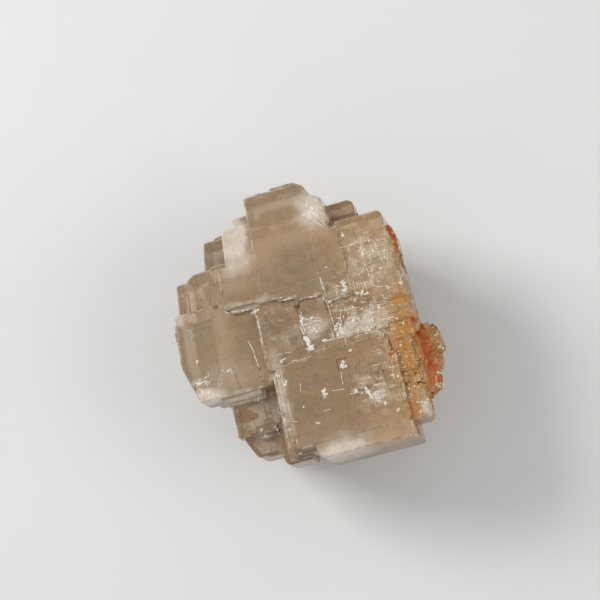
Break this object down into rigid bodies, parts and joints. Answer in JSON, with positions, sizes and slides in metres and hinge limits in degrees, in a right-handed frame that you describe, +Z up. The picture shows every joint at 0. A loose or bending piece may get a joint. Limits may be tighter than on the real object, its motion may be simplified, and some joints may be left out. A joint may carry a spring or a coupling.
{
  "type": "halite crystal cluster",
  "caption": "Cluster of translucent halite cubes grown together in parallel, with stepped faces and an iron-stained granular rim; lies on a flat cube face.",
  "frame": {"origin": "middle of the box's bottom, on the plane of the flat cube face that the cluster rests on", "axes": "+Z up, out of the largest stepped face; +X and +Y along the cube edges, +Y towards the tower and +X towards the stained rim"},
  "size_m": [0.0618, 0.0668, 0.04],
  "materials": {
    "salt": "clear to milky pale brown salt with a waxy vitreous polish, thin bright edges and cleavage cracks",
    "iron_stained_salt": "granular orange to rust-brown salt with small glinting grains"
  },
  "bodies": {
    "root": {"halite_cluster": "salt"}
  },
  "joints": []
}
